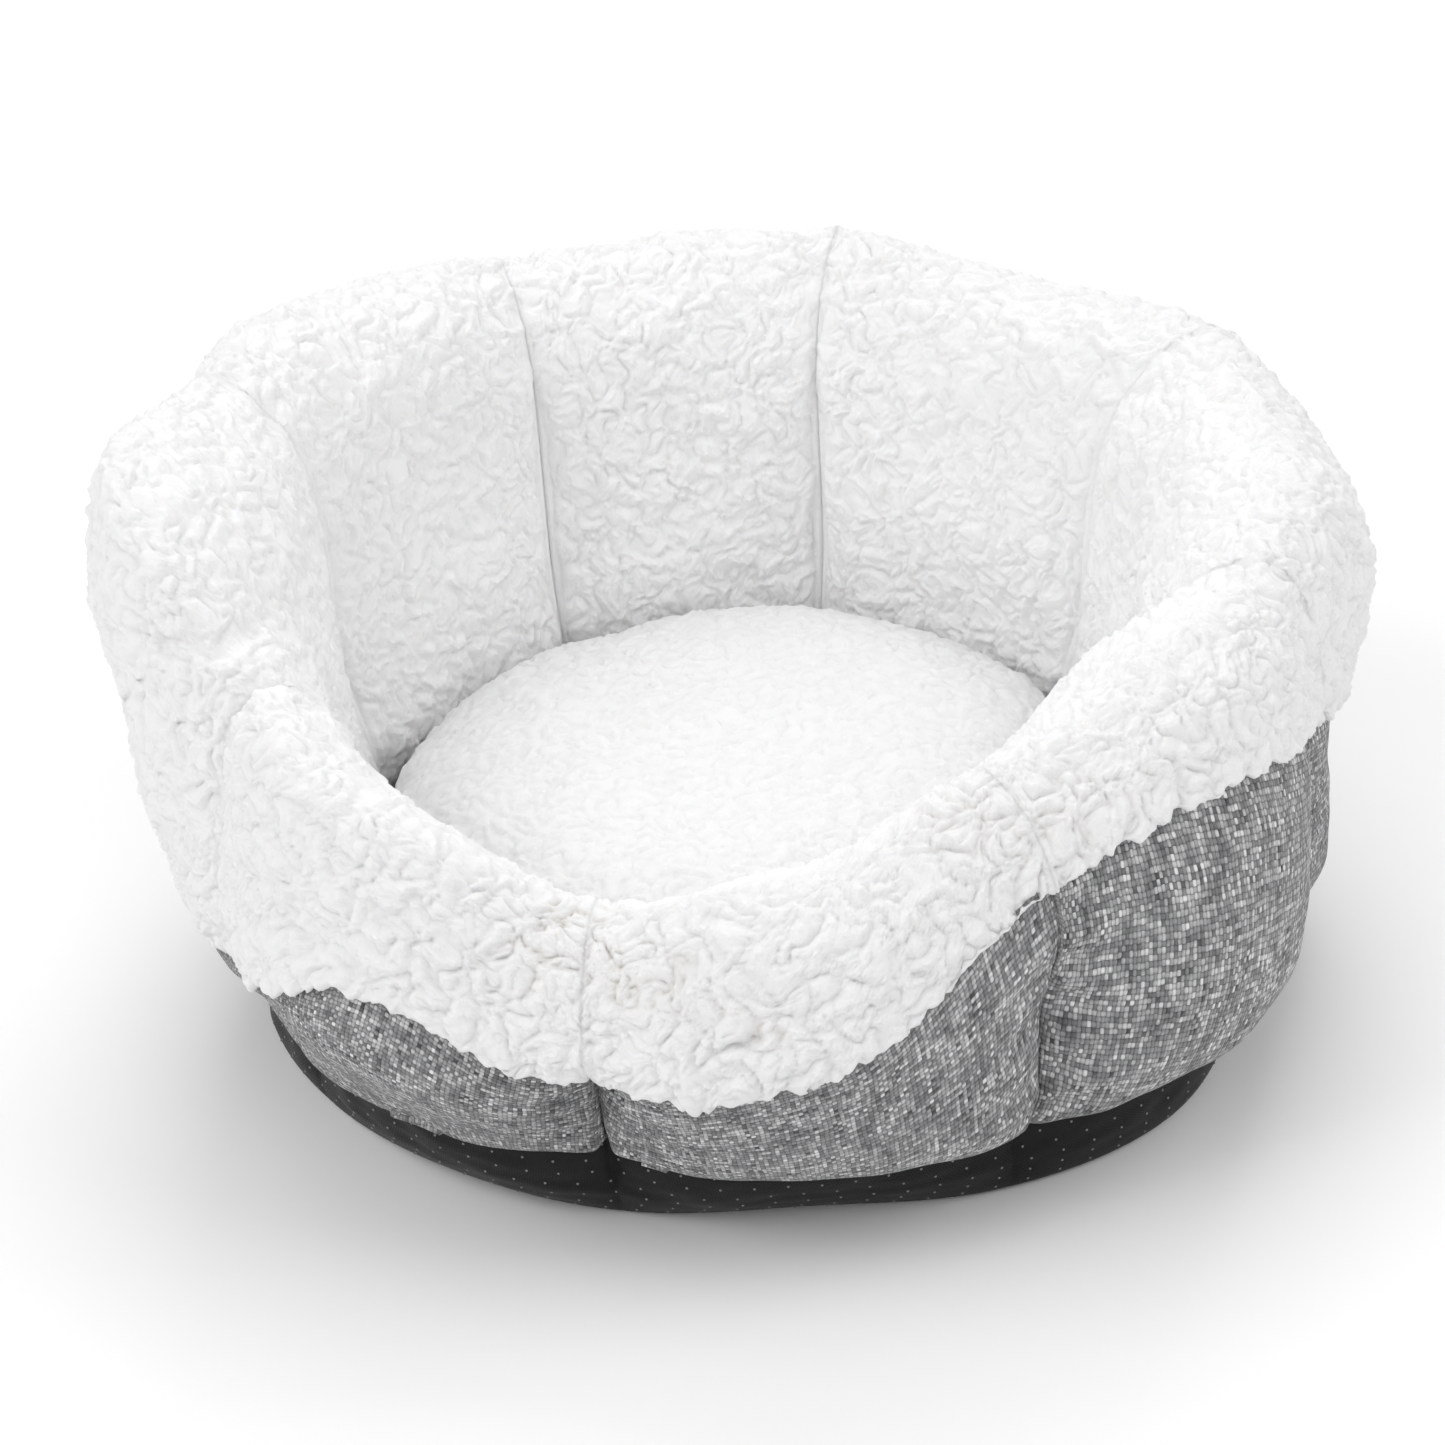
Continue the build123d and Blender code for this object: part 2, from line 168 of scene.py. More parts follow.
def in_space(rz, turn):
    """Model points in mm from (T, S, 2) radii and heights; the inner ring is shifted by the lean."""
    lean = (LEAN_OUTER_R - rz[..., 0]) / (LEAN_OUTER_R - LEAN_INNER_R)
    a = azimuth(turn)[:, None]
    x = rz[..., 0] * np.cos(a) + lean * LEAN_SHIFT[0]
    y = rz[..., 0] * np.sin(a) + lean * LEAN_SHIFT[1]
    return np.stack([x, y, rz[..., 1]], -1)


def even_places(controls, start, stop, count):
    """Places along the profile, from start to stop, evenly spaced by length."""
    fine = start[:, None] + (stop - start)[:, None] * np.linspace(0, 1, 160)
    points = on_profile(controls, fine)
    steps = np.linalg.norm(np.diff(points, axis=1), axis=-1)
    length = np.concatenate([np.zeros((len(steps), 1)), np.cumsum(steps, 1)], 1)
    wanted = np.linspace(0, 1, count)
    return np.stack([np.interp(wanted * l[-1], l, f) for l, f in zip(length, fine)]), length[:, -1]


# ------------------------------------------------------------------ noise
def spread_directions(count):
    """Evenly spread unit vectors."""
    i = np.arange(count) + 0.5
    z = 1 - 2 * i / count
    a = i * math.pi * (3 - math.sqrt(5))
    return np.stack([np.sqrt(1 - z * z) * np.cos(a), np.sqrt(1 - z * z) * np.sin(a), z], -1)


DIRECTIONS = spread_directions(64)


def shuffled(cell, seed):
    """Repeatable whole number for each lattice point (N, 3)."""
    c = cell.astype(np.uint64)
    h = c[:, 0] * np.uint64(0x9E3779B1) ^ c[:, 1] * np.uint64(0x85EBCA77) ^ c[:, 2] * np.uint64(0xC2B2AE3D)
    h = (h + np.uint64(seed * 0x27D4EB2F + 1)) & np.uint64(0xFFFFFFFF)
    for _ in range(2):
        h ^= h >> np.uint64(15)
        h = (h * np.uint64(0x2C1B3C6D)) & np.uint64(0xFFFFFFFF)
    return (h ^ (h >> np.uint64(13))).astype(np.int64)


def soft_noise(p, size, seed):
    """Smooth gradient noise from about -1 to 1, with bumps about size across."""
    q = p / size + 1000.0
    base = np.floor(q).astype(np.int64)
    f = q - base
    ease = f * f * f * (f * (6 * f - 15) + 10)
    total = 0
    for corner in np.ndindex(2, 2, 2):
        corner = np.array(corner)
        slope = DIRECTIONS[shuffled(base + corner, seed) % len(DIRECTIONS)]
        weight = np.prod(np.where(corner, ease, 1 - ease), -1)
        total = total + weight * ((f - corner) * slope).sum(-1)
    return 1.6 * total


def pile_height(p, size, seed):
    """Fleece pile, 0 in the thin partings and towards 1 on the puffs between them."""
    warp = np.stack([soft_noise(p, size * 1.3, seed + i) for i in (1, 2, 3)], -1)
    q = p + 0.55 * size * warp
    puffs = np.abs(soft_noise(q, size, seed + 4))
    curls = np.abs(soft_noise(q, size * 0.52, seed + 5))
    wisps = np.abs(soft_noise(q, size * 0.27, seed + 6))
    mixed = (0.55 * np.minimum(puffs * 1.9, 1.1) ** 0.75 + 0.30 * np.minimum(curls * 1.9, 1.1) ** 0.8
             + 0.15 * wisps * 1.9)
    return np.clip(mixed, 0, 1.1)


# ------------------------------------------------------------------ meshes
def make_mesh(name, points, quads, triangles=()):
    """Smooth mesh object from points in mm."""
    mesh = bpy.data.meshes.new(name)
    faces = np.asarray(quads, np.int32)
    tris = np.asarray(triangles, np.int32).reshape(-1, 3)
    mesh.vertices.add(len(points))
    mesh.vertices.foreach_set("co", (np.asarray(points, float) * MM).astype(np.float32).ravel())
    mesh.loops.add(faces.size + tris.size)
    mesh.loops.foreach_set("vertex_index", np.concatenate([faces.ravel(), tris.ravel()]))
    mesh.polygons.add(len(faces) + len(tris))
    starts = np.concatenate([np.arange(len(faces)) * 4, faces.size + np.arange(len(tris)) * 3])
    mesh.polygons.foreach_set("loop_start", starts.astype(np.int32))
    mesh.update(calc_edges=True)
    mesh.validate()
    mesh.shade_smooth()
    obj = bpy.data.objects.new(name, mesh)
    bpy.context.scene.collection.objects.link(obj)
    return obj


def store(obj, name, values):
    """Keeps one number or one vector per vertex for the materials to read."""
    values = np.asarray(values, np.float32)
    kind, key = ("FLOAT", "value") if values.ndim == 1 else ("FLOAT_VECTOR", "vector")
    obj.data.attributes.new(name, kind, "POINT").data.foreach_set(key, values.ravel())


def grid_quads(rows, columns, close_rows=False, close_columns=False):
    index = np.arange(rows * columns).reshape(rows, columns)
    if close_rows:
        index = np.concatenate([index, index[:1]], 0)
    if close_columns:
        index = np.concatenate([index, index[:, :1]], 1)
    a, b, c, d = index[:-1, :-1], index[1:, :-1], index[1:, 1:], index[:-1, 1:]
    return np.stack([a, b, c, d], -1).reshape(-1, 4)


def ring_normals(points):
    """Outward unit normals of a (T, S, 3) grid whose rows T run round the bed."""
    along = np.gradient(points, axis=1)
    across = np.roll(points, -1, 0) - np.roll(points, 1, 0)
    n = np.cross(across, along)
    return n / (np.linalg.norm(n, axis=-1, keepdims=True) + 1e-9)


def smoothstep(low, high, x):
    t = np.clip((x - low) / (high - low), 0, 1)
    return t * t * (3 - 2 * t)


def grid_noise(points, size, seed):
    return soft_noise(points.reshape(-1, 3), size, seed).reshape(points.shape[:2])


def thicken(obj, thickness):
    """Gives a sheet its cloth thickness, on the inner side, and keeps the result."""
    solid = obj.modifiers.new("cloth thickness", "SOLIDIFY")
    solid.thickness = thickness * MM
    solid.offset = -1.0
    bpy.context.view_layer.update()
    graph = bpy.context.evaluated_depsgraph_get()
    mesh = bpy.data.meshes.new_from_object(
        obj.evaluated_get(graph), preserve_all_data_layers=True, depsgraph=graph)
    obj.modifiers.clear()
    obj.data = mesh


def round_turns(per_channel):
    """Places once round the bed, closer together at the seams."""
    turn = np.arange(8 * per_channel) / per_channel
    return turn - 0.05 * np.sin(2 * np.pi * turn)


def channel_slice(number, per_channel):
    """Rows of one channel, from its first seam to its second."""
    return np.arange(number * per_channel, (number + 1) * per_channel + 1) % (8 * per_channel)


def from_seam(turn, radius):
    """Rough distance in mm from the nearest seam, for (T, S) radii."""
    return np.abs(turn - np.round(turn))[:, None] * radius * (2 * np.pi / 8)


# ------------------------------------------------------------------ fleece channels
DETAIL = 1.0
WALL_COLUMNS, WALL_ROWS = int(190 * DETAIL), int(400 * DETAIL)
LIP_ROWS = 14
LIP_DROP = 2.6                    # the lip hangs this far below the first row of the skin
LIP_START = 4.0                   # and the skin starts this far above the cuff seam
CURL_SIZE = 8.5
PILE_DEPTH = 3.4
WARM_SPOTS = ((6.03, 3.9, 30.0, 9.0), (5.10, 3.8, 30.0, 10.0), (4.93, 4.3, 14.0, 8.0), (5.36, 3.3, 10.0, 4.0))
# Slits and dents of the pile: turn, place along the profile, half length, half width, angle and depth in mm.
CREASES = (
    (5.33, 3.22, 9.0, 1.8, 22.0, 2.8),
    (6.34, 3.62, 7.0, 2.0, 80.0, 2.6),
    (6.33, 6.20, 8.0, 2.4, 25.0, 2.2),
    (3.90, 4.60, 24.0, 3.5, 5.0, 3.5),
)


def place_in_space(turn, place):
    """One point of the wall's surface."""
    turn = np.array([turn])
    return in_space(on_profile(wall_controls(turn), np.array([[place]])), turn)[0, 0]


def spot_mask(points, turn, place, half_width, half_height, angle=0.0):
    """Soft oval mark on the wall, 1 in its middle."""
    middle = place_in_space(turn, place)
    direction = azimuth(np.array([turn]))[0]
    sideways = np.array([-math.sin(direction), math.cos(direction), 0])
    outwards = np.array([math.cos(direction), math.sin(direction), 0])
    offset = points - middle
    u, v, w = offset @ sideways, offset[..., 2], offset @ outwards
    c, s = math.cos(math.radians(angle)), math.sin(math.radians(angle))
    across, up = u * c + v * s, v * c - u * s
    return np.exp(-(across / half_width) ** 2 - (up / half_height) ** 2 - (w / (2 * half_width + 12)) ** 2)


def lip_points(skin):
    """Rounded lower edge of the cuff: from the back of the fleece down and out to its first row."""
    direction = skin[:, 1:2] - skin[:, :1]
    direction = direction / np.linalg.norm(direction, axis=-1, keepdims=True)
    inwards = np.stack([-direction[..., 1], direction[..., 0]], -1)
    phi = np.linspace(np.pi, 0, LIP_ROWS + 1)[None, :-1, None]
    half = 0.5 * (FLEECE_THICKNESS - 1.2)
    return skin[:, :1] + inwards * half * (1 - np.cos(phi)) - direction * LIP_DROP * np.sin(phi)


def hidden_rows(controls, hem):
    """Flat foot and slanted back of the channels, which the base and the panels cover."""
    tuck_r = controls[:, 0, 0]
    inner_foot = controls[:, -1, 0]
    foot_r = np.linspace(inner_foot - 0.1, tuck_r - 8.0, 9).T
    foot = np.stack([foot_r, np.full_like(foot_r, WALL_FOOT)], -1)
    places = np.linspace(0.25, 0.98, 16)[None, :] * hem[:, None]
    depth = PILE_STEP * (places / hem[:, None]) ** 2 + 4.0
    return np.concatenate([foot, under_skin(controls, places, depth)], 1)


def skin_relief(points, turn, place, radius):
    """Pile height, movement along the normals in mm and warm tint for the fleece skin."""
    nearest = np.floor(turn + 0.5).astype(int) % 8
    inner = smoothstep(5.3, 6.8, place)
    seam = CUFF_CREASE[nearest][:, None] * (1 - inner) + inner
    far = from_seam(turn, radius)
    near = np.exp(-(far / 6.0) ** 2) * seam
    coarse = pile_height(points.reshape(-1, 3), CURL_SIZE, 3).reshape(place.shape)
    warm = sum(spot_mask(points, *spot) for spot in WARM_SPOTS)
    warm = np.clip(warm * (0.7 + 0.5 * grid_noise(points, 14, 37)), 0, 1)
    swell = (2.6 * grid_noise(points, 75, 31) + 1.7 * grid_noise(points, 34, 32)
             + 0.8 * grid_noise(points, 17, 33))
    low = smoothstep(6.2, 8.4, place)
    slit = (0.5 + 2.2 * low) * np.exp(-(far / 2.4) ** 2) * seam
    puckers = 0.9 * np.sin(9 * place + 3 * grid_noise(points, 50, 35)) * np.exp(-far / 10) * seam
    depth = PILE_DEPTH * (1 - 0.1 * inner) * (1 + 0.1 * warm)
    move = depth * (coarse - 0.5) * (1 - 0.45 * near) + swell * (1 - 0.6 * near) + puckers - slit
    for turn_at, place_at, half, width, angle, deep in CREASES:
        move = move - deep * spot_mask(points, turn_at, place_at, half, width, angle)
    over_thread = -0.3 - 4.0 * smoothstep(0.8, 3.2, far)
    return coarse, np.maximum(move, over_thread), warm


def ragged_edge(points, first):
    """Tufts along the cuff's lower edge, as movements down the wall."""
    edge = points[:, first]
    down = points[:, first] - points[:, first + 3]
    down = down / np.linalg.norm(down, axis=-1, keepdims=True)
    tufts = (2.4 * soft_noise(edge, 17, 41) + 2.2 * soft_noise(edge, 8, 42)
             + 1.3 * soft_noise(edge, 4, 43) + 0.8)
    return down * np.clip(tufts, -3.0, 5.5)[:, None]


def wall_grid():
    """Fleece surface round the whole bed, and what the materials read from it."""
    turn = round_turns(WALL_COLUMNS)
    controls = wall_controls(turn)
    hem = hem_place(controls, level("hem_z", turn))
    step = on_profile(controls, hem[:, None] + 0.05) - on_profile(controls, hem[:, None])
    start = hem + LIP_START * 0.05 / np.linalg.norm(step[:, 0], axis=-1)
    place, _ = even_places(controls, start, np.full_like(hem, PROFILE_END), WALL_ROWS)
    skin = on_profile(controls, place)
    lip = lip_points(skin)
    pile = np.concatenate([lip, skin], 1)
    points = in_space(pile, turn)
    normals = ring_normals(points)
    places = np.concatenate([np.repeat(place[:, :1], LIP_ROWS, 1), place], 1)
    height, move, warm = skin_relief(points, turn, places, pile[..., 0])
    foot_fade = smoothstep(9.95, 9.4, places)
    row = np.arange(pile.shape[1])
    edge_fade = smoothstep(LIP_ROWS + 26 * DETAIL, LIP_ROWS, row)[None, :, None]
    lip_fade = smoothstep(0, LIP_ROWS * 0.7, row)[None, :]
    tufts = ragged_edge(points, LIP_ROWS)[:, None, :] * edge_fade * lip_fade[..., None]
    points = points + normals * (move * foot_fade * lip_fade)[..., None] + tufts
    hidden = in_space(hidden_rows(controls, hem), turn)
    # cuff is 1 on the outer cuff, which the fleece material makes 9% darker: painted shade, for the light
    # from below that it misses
    cuff = smoothstep(5.7, 4.7, places)
    return np.concatenate([points, hidden], 1), {"pile": height, "warm": warm, "cuff": cuff}


def make_channel(number, name, grid, looks):
    rows = channel_slice(number, WALL_COLUMNS)
    part = grid[rows]
    columns, total = part.shape[:2]
    points = part.reshape(-1, 3)
    rings = [np.arange(total), (columns - 1) * total + np.arange(total)]
    middles = [points[ring].mean(0) for ring in rings]
    fans = []
    for middle, (ring, onward) in enumerate(zip(rings, (1, -1))):
        fans.append(np.stack([np.full(total, len(points) + middle), ring, np.roll(ring, onward)], -1))
    quads = grid_quads(columns, total, close_columns=True)
    obj = make_mesh(f"fleece_{name}", np.concatenate([points, middles]), quads, np.concatenate(fans))
    shading = ring_normals(grid)[rows].reshape(-1, 3)
    obj.data.normals_split_custom_set_from_vertices(np.concatenate([shading, np.zeros((2, 3))]))
    for key, values in looks.items():
        full = np.zeros((columns, total))
        full[:, :values.shape[1]] = values[rows]
        store(obj, key, np.append(full.ravel(), [0, 0]))
    return obj


# ------------------------------------------------------------------ grey woven panels
PANEL_COLUMNS, PANEL_ROWS = int(150 * DETAIL), int(110 * DETAIL)
TUCK_ROWS = 6
TUCK_WIDTH = 6.5                  # what is folded in under the panel's lower edge


def panel_grid():
    """Outer cloth round the whole bed, with the length of each row of it."""
    turn = round_turns(PANEL_COLUMNS)
    controls = wall_controls(turn)
    hem = hem_place(controls, level("hem_z", turn))
    place, length = even_places(controls, np.zeros_like(hem), hem + 0.12, PANEL_ROWS)
    skin = under_skin(controls, place, PILE_STEP * np.minimum(place / hem[:, None], 1) ** 2)
    tuck = skin[:, :1] + np.linspace(1, 0, TUCK_ROWS)[None, :-1, None] * np.array([-6.0, 2.5])
    rz = np.concatenate([tuck, skin], 1)
    points = in_space(rz, turn)
    normals = ring_normals(points)
    up = np.concatenate([np.linspace(-TUCK_WIDTH, 0, TUCK_ROWS)[:-1],
                         np.linspace(0, 1, PANEL_ROWS) * length.mean()])
    far = from_seam(turn, rz[..., 0])
    off_seam = smoothstep(0.0, 5.0, far)
    ripple = np.sin(up * 0.45 + 2.2 * grid_noise(points, 40, 61))
    puckers = 1.7 * ripple * np.exp(-far / 15) * off_seam
    above = np.maximum(up, 0)
    scallops = 2.4 * grid_noise(points * np.array([1, 1, 0.35]), 30, 62) * np.exp(-above / 18)
    waves = 1.5 * grid_noise(points, 55, 63) + 0.7 * grid_noise(points, 21, 64)
    points = points + normals * ((scallops + waves) * off_seam + puckers)[..., None]
    hang = grid_noise(points * np.array([1, 1, 0]), 32, 65) * np.exp(-above / 9) * off_seam
    points[..., 2] -= 2.6 * np.clip(hang, -0.1, 1)
    return points, up, length


def make_panel(number, name, grid, up, length):
    rows = channel_slice(number, PANEL_COLUMNS)
    part = grid[rows]
    shape = part.shape[:2]
    width = np.linalg.norm(np.diff(part[:, shape[1] // 2], axis=0), axis=-1)
    across = np.concatenate([[0], np.cumsum(width)])[:, None]
    obj = make_mesh(f"woven_{name}", part.reshape(-1, 3), grid_quads(*shape))
    lean = 0.14 * math.sin(2.7 * number + 0.6)
    run = np.broadcast_to(across, shape) * math.cos(lean) + up * math.sin(lean) + 41.0 * number
    rise = up * math.cos(lean) - across * math.sin(lean) + 500.0
    store(obj, "cloth", np.stack([run, rise, np.zeros(shape)], -1).reshape(-1, 3))
    thicken(obj, 1.3)
    return obj, across[-1, 0], length[rows].mean() + TUCK_WIDTH


# ------------------------------------------------------------------ base cloth with grip dots
BASE_EDGE = ((0.0, 1.0, 5.0), (3.0, 0.92, 1.5), (12.0, 0.55, 0.0), (26.0, 0.12, 0.0), (44.0, 0.0, 0.0))
DOT_PITCH = 11.0
DOT_R = 0.5


def smooth_curve(table, steps):
    """Finer rows through a small table of rows."""
    table = np.array(table, float)
    padded = np.concatenate([[2 * table[0] - table[1]], table, [2 * table[-1] - table[-2]]])
    rows = []
    for i in range(len(table) - 1):
        for f in np.linspace(0, 1, steps, endpoint=False):
            rows.append(catmull_rom(*padded[i:i + 4], f))
    rows.append(table[-1])
    return np.array(rows)


def base_grid():
    """Underside and turned-up band of the base cloth, and lengths along it."""
    count = int(720 * DETAIL)
    turn = np.arange(count) * 8 / count
    z, follow, corner = smooth_curve(BASE_EDGE, 8).T
    band = level("tuck_r", turn)[:, None] - BASE_INSET
    r_band = band + follow * (level("foot_r", turn)[:, None] - band) - corner
    under = np.linspace(0.02, 1, 30)[None, :-1] * r_band[:, :1]
    r = np.concatenate([under, r_band], 1)
    heights = np.concatenate([np.zeros_like(under), np.broadcast_to(z, r_band.shape)], 1)
    points = in_space(np.stack([r, heights], -1), turn)
    rise = smoothstep(2, 16, points[..., 2]) * smoothstep(44, 38, points[..., 2])
    folds = 1.6 * grid_noise(points * np.array([1, 1, 0.4]), 22, 71) + 1.4 * grid_noise(points, 60, 72)
    folds += 0.7 * grid_noise(points * np.array([0.5, 0.5, 1.6]), 9, 73) + 1.2
    direction = azimuth(turn)
    outwards = np.stack([np.cos(direction), np.sin(direction), 0 * direction], -1)[:, None, :]
    points = points + outwards * (folds * rise)[..., None]
    points[..., 2] = np.maximum(points[..., 2], 0.35)
    steps = np.linalg.norm(np.diff(points, axis=1), axis=-1).mean(0)
    return points, np.concatenate([[0], np.cumsum(steps)])


def make_base(points, along):
    count, rows = points.shape[:2]
    middle = np.append(points[:, 0].mean(0)[:2], 0.35)
    ring = np.arange(count) * rows
    fan = np.stack([np.full(count, count * rows), np.roll(ring, -1), ring], -1)
    quads = grid_quads(count, rows, close_rows=True)
    obj = make_mesh("base_cloth", np.concatenate([points.reshape(-1, 3), [middle]]), quads, fan)
    turn = np.arange(count)[:, None] / count * 2 * np.pi
    cloth = np.stack([along * np.cos(turn), along * np.sin(turn), 0 * turn + 0 * along], -1)
    store(obj, "cloth", np.concatenate([cloth.reshape(-1, 3), [[0, 0, 0]]]))
    thicken(obj, 1.1)
    return obj


def dot_spots(points, along):
    """Staggered places of the grip dots on the base cloth, with their normals."""
    normals = ring_normals(points)
    count = len(points)
    spots = []
    for number, distance in enumerate(np.arange(8, along[-1] - 1, DOT_PITCH * 0.5)):
        column = np.interp(distance, along, np.arange(len(along)))
        low = min(int(column), len(along) - 2)
        ring = points[:, low] + (points[:, low + 1] - points[:, low]) * (column - low)
        length = np.linalg.norm(np.roll(ring, -1, 0) - ring, axis=-1).sum()
        many = max(3, round(length / DOT_PITCH))
        place = (np.arange(many) + 0.5 * (number % 2)) * count / many
        first = np.floor(place).astype(int) % count
        spot = ring[first] + (ring[(first + 1) % count] - ring[first]) * (place % 1)[:, None]
        spots.append(np.concatenate([spot, normals[first, low]], 1))
    spots = np.concatenate(spots)
    spots[:, 2] = np.maximum(spots[:, 2], 0.35)
    return spots[:, :3], spots[:, 3:]


def make_dots(points, along):
    """Low rubber domes on the base cloth."""
    spot, n = dot_spots(points, along)
    inwards = ((n * (spot - [0, 0, 60])).sum(-1, keepdims=True) < 0)
    n = np.where(inwards, -n, n)
    aside = np.cross(np.where(np.abs(n[:, 2:]) > 0.9, [[1.0, 0, 0]], [[0, 0, 1.0]]), n)
    aside /= np.linalg.norm(aside, axis=-1, keepdims=True)
    onward = np.cross(n, aside)
    sides = 8
    angle = np.arange(sides)[None, :, None] * 2 * np.pi / sides
    circle = np.cos(angle) * aside[:, None] + np.sin(angle) * onward[:, None]
    rings = [spot[:, None] + r * circle + lift * n[:, None]
             for r, lift in ((DOT_R, -0.1), (0.7 * DOT_R, 0.26))]
    shape = np.concatenate([*rings, spot[:, None] + 0.33 * n[:, None]], 1)
    starts = np.arange(len(spot))[:, None, None] * (2 * sides + 1)
    i = np.arange(sides)
    j = (i + 1) % sides
    quads = starts + np.stack([i, j, j + sides, i + sides], -1)[None]
    fan = starts + np.stack([i + sides, j + sides, np.full(sides, 2 * sides)], -1)[None]
    return make_mesh("grip_dots", shape.reshape(-1, 3), quads.reshape(-1, 4), fan.reshape(-1, 3))


# ------------------------------------------------------------------ loose cushion and tub floor
CUSHION_TOP = ((0.0, 94.0), (45.0, 93.4), (82.0, 90.6), (105.0, 84.0), (118.0, 75.5), (123.0, 65.0))
CUSHION_BOTTOM = ((0.0, 47.3), (84.0, 47.3), (102.0, 48.8), (117.0, 53.7), (122.7, 62.8))
CUSHION_CURL = 7.0
CUSHION_PILE = 2.0


def disc_grid(count):
    """Square grid pressed into a round one: radius 0 to 1 and direction."""
    line = np.linspace(-1, 1, count)
    x, y = np.meshgrid(line, line, indexing="ij")
    u = x * np.sqrt(1 - y * y / 2)
    v = y * np.sqrt(1 - x * x / 2)
    return np.hypot(u, v), np.arctan2(v, u)


def cushion_side(table, count):
    """Half of the cushion as a grid, and how far out each of its points is."""
    radius, direction = disc_grid(count)
    rows = smooth_curve(table, 24)
    length = np.concatenate([[0], np.cumsum(np.linalg.norm(np.diff(rows, axis=0), axis=-1))])
    r = np.interp(radius * length[-1], length, rows[:, 0])
    z = np.interp(radius * length[-1], length, rows[:, 1])
    return np.stack([r * np.cos(direction), r * np.sin(direction), z], -1) + CUSHION_CENTRE, radius


def make_cushion_top():
    points, radius = cushion_side(CUSHION_TOP, int(310 * DETAIL))
    n = np.cross(np.gradient(points, axis=0), np.gradient(points, axis=1))
    n /= np.linalg.norm(n, axis=-1, keepdims=True)
    n = np.where(n[..., 2:] < 0, -n, n)
    height = pile_height(points.reshape(-1, 3), CUSHION_CURL, 103).reshape(radius.shape)
    swell = (2.2 * grid_noise(points, 80, 111) + 1.3 * grid_noise(points, 33, 112)
             + 0.6 * grid_noise(points, 15, 113))
    edge = smoothstep(1.0, 0.94, radius)
    angle = np.arctan2(points[..., 1] - CUSHION_CENTRE[1], points[..., 0] - CUSHION_CENTRE[0])
    gathers = 0.7 * np.sin(44 * angle + 4 * grid_noise(points, 40, 114)) * smoothstep(0.84, 0.97, radius)
    move = (CUSHION_PILE * (height - 0.5) + swell + gathers) * edge
    obj = make_mesh("cushion_fleece", (points + n * move[..., None]).reshape(-1, 3),
                    grid_quads(*radius.shape))
    store(obj, "pile", height.ravel())
    store(obj, "warm", np.zeros(height.size))
    return obj


CUSHION_UNDERSIDE_Z = 45.6


def make_cushion_underside():
    points, radius = cushion_side(CUSHION_BOTTOM, int(120 * DETAIL))
    points[..., 2] += (0.5 + 0.5 * grid_noise(points, 30, 121)) * smoothstep(0.4, 0.9, radius)
    obj = make_mesh("cushion_underside", points.reshape(-1, 3), grid_quads(*radius.shape)[:, ::-1])
    store(obj, "cloth", points.reshape(-1, 3))
    thicken(obj, 1.2)
    return obj


FLOOR_RADIUS = 134.0


def make_floor_lining():
    radius, direction = disc_grid(int(150 * DETAIL))
    r = radius * FLOOR_RADIUS
    height = np.full_like(r, CUSHION_UNDERSIDE_Z)
    flat = np.stack([r * np.cos(direction), r * np.sin(direction), height], -1) + CUSHION_CENTRE
    wrinkles = 0.45 * grid_noise(flat, 30, 131) + 0.2 * grid_noise(flat, 9, 132)
    points = flat + np.array([0, 0, 1.0]) * wrinkles[..., None]
    obj = make_mesh("tub_floor_cloth", points.reshape(-1, 3), grid_quads(*r.shape))
    store(obj, "cloth", flat.reshape(-1, 3))
    thicken(obj, 1.2)
    return obj


# ------------------------------------------------------------------ materials
def new_material(name):
    material = bpy.data.materials.new(name)
    material.use_nodes = True
    nodes, links = material.node_tree.nodes, material.node_tree.links
    return material, nodes, links, nodes["Principled BSDF"]


def node(nodes, kind, **settings):
    made = nodes.new(kind)
    for key, value in settings.items():
        setattr(made, key, value)
    return made


def ramp(nodes, stops):
    made = nodes.new("ShaderNodeValToRGB")
    elements = made.color_ramp.elements
    while len(elements) < len(stops):
        elements.new(0.5)
    for element, (position, colour) in zip(elements, stops):
        element.position = position
        element.color = (*colour, 1)
    return made


def math_node(nodes, links, operation, a, b=None, c=None):
    made = node(nodes, "ShaderNodeMath", operation=operation)
    for socket, value in zip(made.inputs, (a, b, c)):
        if value is None:
            continue
        if isinstance(value, (int, float)):
            socket.default_value = value
        else:
            links.new(value, socket)
    return made.outputs[0]


def mix_colour(nodes, links, factor, a, b, blend="MIX"):
    made = node(nodes, "ShaderNodeMix", data_type="RGBA", blend_type=blend)
    for socket, value in ((made.inputs[0], factor), (made.inputs[6], a), (made.inputs[7], b)):
        if isinstance(value, tuple):
            socket.default_value = (*value, 1)
        elif isinstance(value, (int, float)):
            socket.default_value = value
        else:
            links.new(value, socket)
    return made.outputs[2]


def noise(nodes, links, vector, scale, detail=2.0, roughness=0.5):
    made = nodes.new("ShaderNodeTexNoise")
    made.inputs["Scale"].default_value = scale
    made.inputs["Detail"].default_value = detail
    made.inputs["Roughness"].default_value = roughness
    links.new(vector, made.inputs["Vector"])
    return made.outputs["Fac"]


def bump(nodes, links, height, distance, strength=1.0, normal=None):
    made = nodes.new("ShaderNodeBump")
    made.inputs["Distance"].default_value = distance
    made.inputs["Strength"].default_value = strength
    links.new(height, made.inputs["Height"])
    if normal is not None:
        links.new(normal, made.inputs["Normal"])
    return made.outputs["Normal"]


